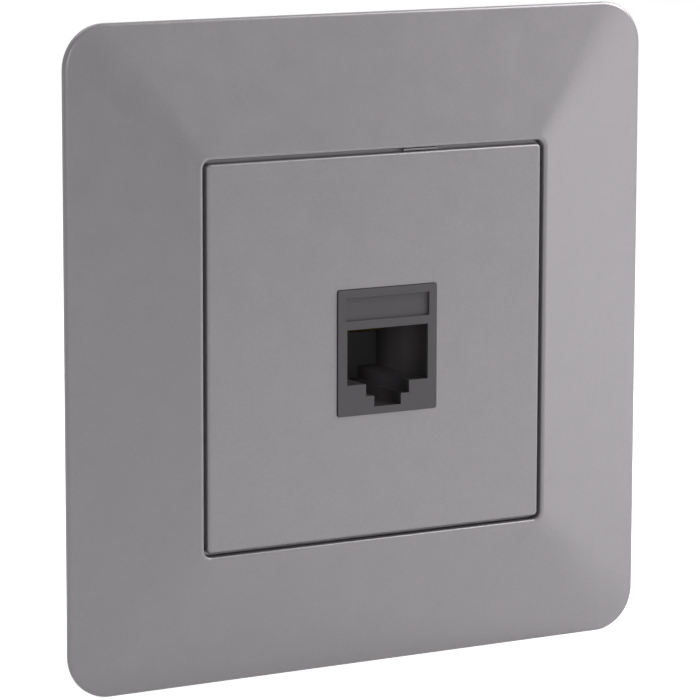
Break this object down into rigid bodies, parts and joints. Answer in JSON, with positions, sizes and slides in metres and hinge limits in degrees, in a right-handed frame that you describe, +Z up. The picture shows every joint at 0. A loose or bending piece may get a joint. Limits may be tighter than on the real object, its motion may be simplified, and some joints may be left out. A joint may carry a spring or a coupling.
{
  "type": "flush-mounted network wall socket",
  "caption": "Square flush wall socket for a network plug: sloping metallic grey cover frame, flat centre plate and dark keystone jack on a steel support with expansion claws.",
  "frame": {"origin": "middle of the wall plane, at the back of the steel support plate and the centre of the box-screw slots", "axes": "+X to the right seen from the front, +Y into the wall, +Z up; the front faces -Y"},
  "size_m": [0.084, 0.0354, 0.084],
  "materials": {
    "frame_paint": "satin metallic grey lacquer on moulded plastic",
    "jack_plastic": "fine matt, dark grey",
    "holder_plastic": "matt, light grey",
    "comb_plastic": "matt, black",
    "terminal_plastic": "matt, dark grey",
    "lid_plastic": "matt, grey",
    "board": "green solder mask",
    "zinc_steel": "zinc-plated sheet",
    "claw_steel": "zinc-plated spring steel",
    "screw_steel": "bright zinc",
    "contact_gold": "thin gold plate on bronze",
    "fork_tin": "tinned bronze"
  },
  "bodies": {
    "socket": {"cover_frame": "frame_paint", "centre_plate": "frame_paint", "support_plate": "zinc_steel", "jack_holder": "holder_plastic", "jack_housing": "jack_plastic", "contact_comb": "comb_plastic", "circuit_board": "board", "terminal_block": "terminal_plastic", "contact_1": "contact_gold", "contact_2": "contact_gold", "contact_3": "contact_gold", "contact_4": "contact_gold", "contact_5": "contact_gold", "contact_6": "contact_gold", "contact_7": "contact_gold", "contact_8": "contact_gold", "upper_wire_fork_1": "fork_tin", "upper_wire_fork_2": "fork_tin", "upper_wire_fork_3": "fork_tin", "upper_wire_fork_4": "fork_tin", "lower_wire_fork_1": "fork_tin", "lower_wire_fork_2": "fork_tin", "lower_wire_fork_3": "fork_tin", "lower_wire_fork_4": "fork_tin"},
    "left_claw_screw": {"left_claw_screw": "screw_steel"},
    "left_claw_nut": {"left_claw_nut": "screw_steel"},
    "left_claw": {"left_claw": "claw_steel"},
    "right_claw_screw": {"right_claw_screw": "screw_steel"},
    "right_claw_nut": {"right_claw_nut": "screw_steel"},
    "right_claw": {"right_claw": "claw_steel"},
    "upper_wire_cover": {"upper_wire_cover": "lid_plastic"},
    "lower_wire_cover": {"lower_wire_cover": "lid_plastic"}
  },
  "joints": [
    {"name": "left_screw_turn", "type": "hinge", "parent": "socket", "child": "left_claw_screw", "pos_m": [-0.0185, 0, 0], "axis": [0, 1, 0], "range_deg": [0, 4320]},
    {"name": "left_nut_slide", "type": "slide", "parent": "socket", "child": "left_claw_nut", "axis": [0, -1, 0], "range_m": [0, 0.0072]},
    {"name": "left_claw_slide", "type": "slide", "parent": "socket", "child": "left_claw", "axis": [-0.4226, -0.9063, 0], "range_m": [0, 0.00794]},
    {"name": "right_screw_turn", "type": "hinge", "parent": "socket", "child": "right_claw_screw", "pos_m": [0.0185, 0, 0], "axis": [0, 1, 0], "range_deg": [0, 4320]},
    {"name": "right_nut_slide", "type": "slide", "parent": "socket", "child": "right_claw_nut", "axis": [0, -1, 0], "range_m": [0, 0.0072]},
    {"name": "right_claw_slide", "type": "slide", "parent": "socket", "child": "right_claw", "axis": [0.4226, -0.9063, 0], "range_m": [0, 0.00794]},
    {"name": "upper_cover_hinge", "type": "hinge", "parent": "socket", "child": "upper_wire_cover", "pos_m": [0.0014, 0.0128, 0.00829], "axis": [1, 0, 0], "range_deg": [0, 95]},
    {"name": "lower_cover_hinge", "type": "hinge", "parent": "socket", "child": "lower_wire_cover", "pos_m": [0.0014, 0.0128, -0.00951], "axis": [-1, 0, 0], "range_deg": [0, 95]}
  ],
  "couplings": [
    {"joint": "left_screw_turn", "follows": "left_claw_slide", "rad_per_m": 9490.8},
    {"joint": "left_nut_slide", "follows": "left_claw_slide", "ratio": 0.90631},
    {"joint": "right_screw_turn", "follows": "right_claw_slide", "rad_per_m": 9490.8},
    {"joint": "right_nut_slide", "follows": "right_claw_slide", "ratio": 0.90631}
  ]
}
